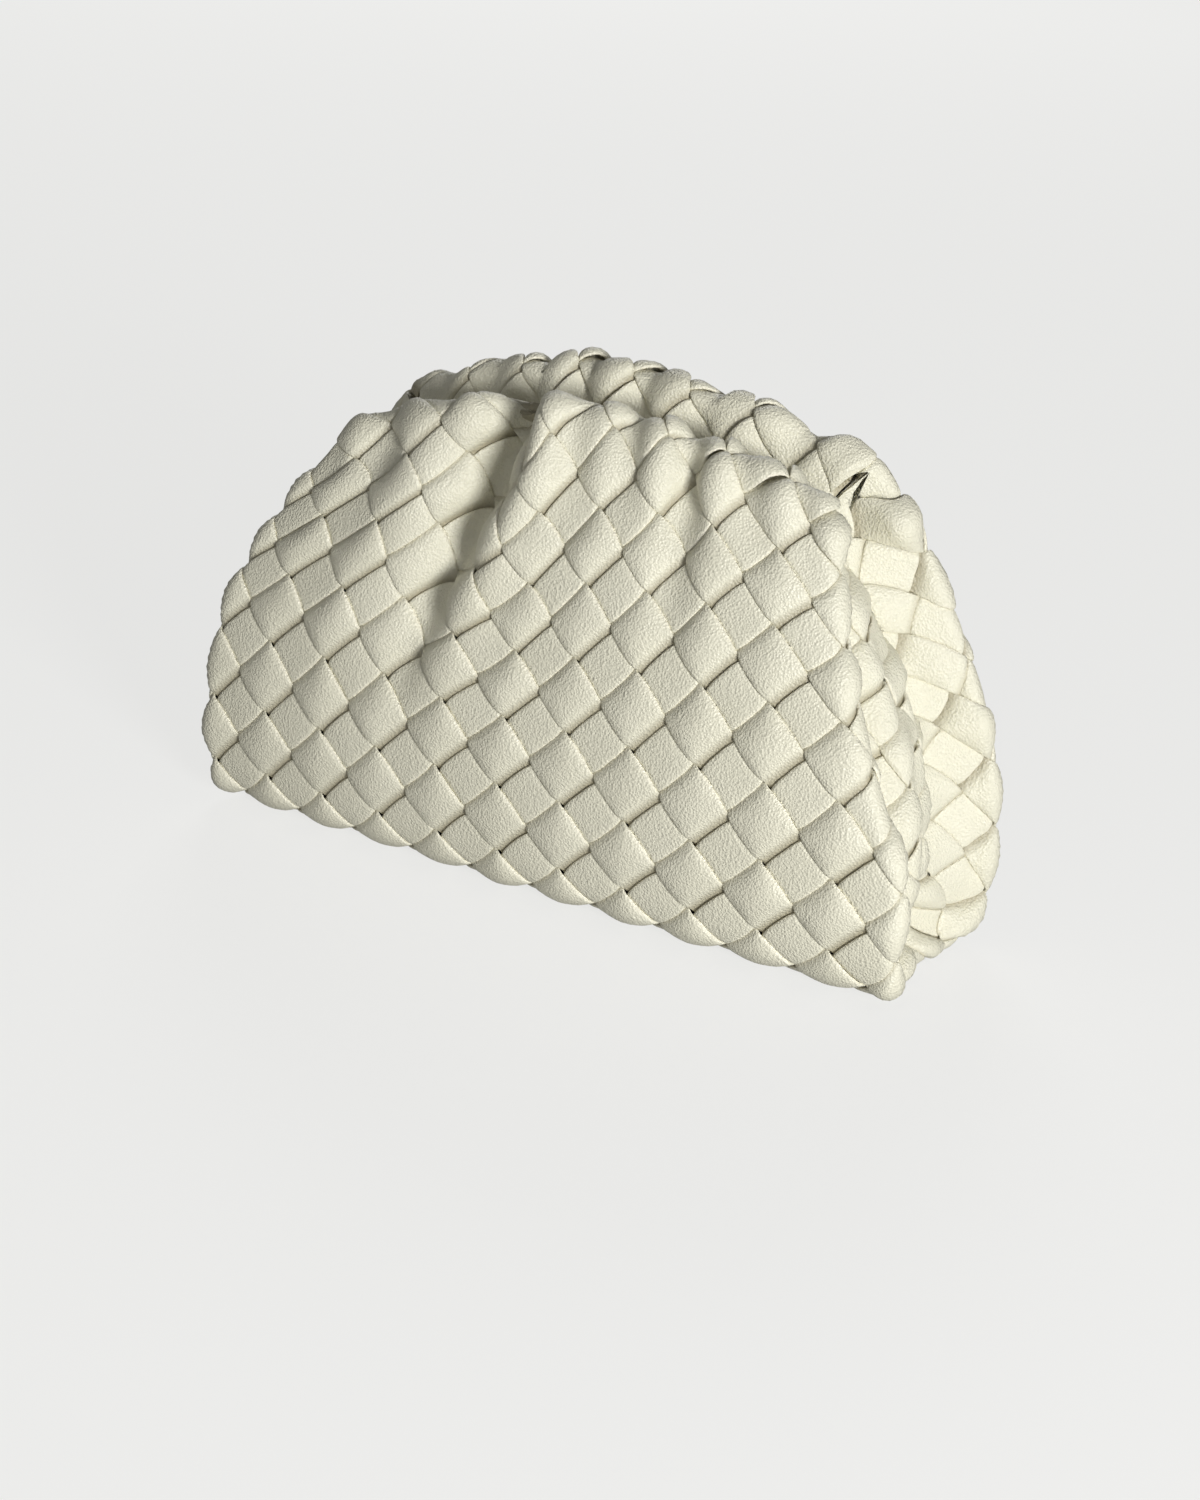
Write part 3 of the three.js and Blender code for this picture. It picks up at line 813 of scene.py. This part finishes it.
# %% Clasp finish
def brushed_metal():
    """Pale metal with fine scratches along the bar, which dull it here and there."""
    material = bpy.data.materials.new("clasp_metal")
    material.use_nodes = True
    nodes, links = material.node_tree.nodes, material.node_tree.links
    shader = nodes["Principled BSDF"]
    shader.inputs["Metallic"].default_value = 1.0
    place = nodes.new("ShaderNodeTexCoord")
    along = nodes.new("ShaderNodeMapping")
    along.inputs["Scale"].default_value = (40.0, 2500.0, 2500.0)
    links.new(place.outputs["Object"], along.inputs["Vector"])
    scratches = nodes.new("ShaderNodeTexNoise")
    scratches.inputs["Scale"].default_value = 1.0
    scratches.inputs["Detail"].default_value = 4.0
    links.new(along.outputs["Vector"], scratches.inputs["Vector"])
    colour = nodes.new("ShaderNodeValToRGB")
    colour.color_ramp.elements[0].color = (0.56, 0.55, 0.52, 1)
    colour.color_ramp.elements[1].color = (0.7, 0.69, 0.66, 1)
    links.new(scratches.outputs["Fac"], colour.inputs["Fac"])
    links.new(colour.outputs["Color"], shader.inputs["Base Color"])
    dull = nodes.new("ShaderNodeMapRange")
    dull.inputs["To Min"].default_value = 0.28
    dull.inputs["To Max"].default_value = 0.46
    links.new(scratches.outputs["Fac"], dull.inputs["Value"])
    links.new(dull.outputs["Result"], shader.inputs["Roughness"])
    bump = nodes.new("ShaderNodeBump")
    bump.inputs["Strength"].default_value = 0.3
    bump.inputs["Distance"].default_value = 0.00005
    links.new(scratches.outputs["Fac"], bump.inputs["Height"])
    links.new(bump.outputs["Normal"], shader.inputs["Normal"])
    return material


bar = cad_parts["clasp_bar"]
bar.data.materials.clear()
bar.data.materials.append(brushed_metal())
print("finish of the clasp bar:", bar.data.materials[0].name)

# %% [markdown]
# ## Floor, light and camera
# The bag stands on a plain pale floor. A low lamp at the right gives the strips their
# bright and dark edges. A weak one in front and a far one behind, with a pale world, fill
# the shadows, so that the bag reads well from every side.

# %% Floor
def seen_brighter(tree, socket, light, seen):
    """Gives a socket one strength as light on the bag, and another one for the eye."""
    rays = tree.nodes.new("ShaderNodeLightPath")
    strength = tree.nodes.new("ShaderNodeMapRange")
    strength.inputs["To Min"].default_value = light
    strength.inputs["To Max"].default_value = seen
    tree.links.new(rays.outputs["Is Camera Ray"], strength.inputs["Value"])
    tree.links.new(strength.outputs["Result"], socket)


bpy.ops.mesh.primitive_plane_add(size=40.0, location=(0.0, 0.0, 0.0))
floor = bpy.context.object
floor.name = "floor"
floor_paint = bpy.data.materials.new("floor_paint")
floor_paint.use_nodes = True
paint = floor_paint.node_tree.nodes["Principled BSDF"]
paint.inputs["Base Color"].default_value = (0.2, 0.2, 0.197, 1)
paint.inputs["Roughness"].default_value = 0.95
paint.inputs["Specular IOR Level"].default_value = 0.1
paint.inputs["Emission Color"].default_value = (1.0, 1.0, 0.985, 1)
# The floor glows a little for the eye, so that it stays as even as a studio sweep.
seen_brighter(floor_paint.node_tree, paint.inputs["Emission Strength"], 0.2, 0.72)
floor.data.materials.append(floor_paint)
print("floor:", tuple(round(side, 2) for side in floor.dimensions[:2]), "m")

# %% Lights
LAMPS_AIM = np.array([0.0, 0.0, 0.06])


def soft_lamp(name, place, size, power):
    """A square lamp that faces the bag."""
    data = bpy.data.lights.new(name, "AREA")
    data.size = size
    data.energy = power
    lamp = bpy.data.objects.new(name, data)
    lamp.location = place
    lamp.visible_camera = False
    direction = Vector(LAMPS_AIM - np.array(place))
    lamp.rotation_euler = direction.to_track_quat("-Z", "Y").to_euler()
    bpy.context.scene.collection.objects.link(lamp)


soft_lamp("key_lamp", (0.98, -0.69, 0.27), 0.3, 14.0)
soft_lamp("fill_lamp", (-0.3, -1.2, 0.7), 1.2, 0.8)
soft_lamp("back_lamp", (-1.8, 3.0, 2.2), 1.5, 40.0)
world = bpy.data.worlds.new("studio")
world.use_nodes = True
sky = world.node_tree.nodes["Background"]
sky.inputs["Color"].default_value = (0.9, 0.9, 0.9, 1)
# The sky's own light is weak, but the eye sees it as pale as the floor.
seen_brighter(world.node_tree, sky.inputs["Strength"], 0.14, 0.85)
bpy.context.scene.world = world
print("lamps:", [lamp.name for lamp in bpy.data.lights])

# %% [markdown]
# ## The camera
# It stands where the photographer stood, a little above the bag, right of its middle and
# tilted by a few degrees. The angles and the distance were fitted to the bag's outline.

# %% Camera
FOCAL_PIXELS = 2600.0
FRAME_LONG = 1500.0
YAW, PITCH, ROLL = np.radians([30.39, 21.491, 3.813])
DISTANCE = 716.229
TARGET = np.array([3.729, 0.0, 36.533])
level = math.cos(PITCH)
back = np.array([math.sin(YAW) * level, -math.cos(YAW) * level, math.sin(PITCH)])
right = np.array([math.cos(YAW), math.sin(YAW), 0.0])
up = np.cross(back, right)
rolled_right = math.cos(ROLL) * right + math.sin(ROLL) * up
rolled_up = math.cos(ROLL) * up - math.sin(ROLL) * right
camera_data = bpy.data.cameras.new("camera")
camera_data.sensor_width = 36.0
camera_data.lens = FOCAL_PIXELS / FRAME_LONG * camera_data.sensor_width
camera = bpy.data.objects.new("camera", camera_data)
place = (TARGET + back * DISTANCE) * MM
camera.matrix_world = Matrix((
    (rolled_right[0], rolled_up[0], back[0], place[0]),
    (rolled_right[1], rolled_up[1], back[1], place[1]),
    (rolled_right[2], rolled_up[2], back[2], place[2]),
    (0, 0, 0, 1),
))
bpy.context.scene.collection.objects.link(camera)
bpy.context.scene.camera = camera
bpy.context.scene.view_settings.view_transform = "Standard"
print("camera: %.1f mm lens, %.0f mm from the bag" % (camera_data.lens, DISTANCE))
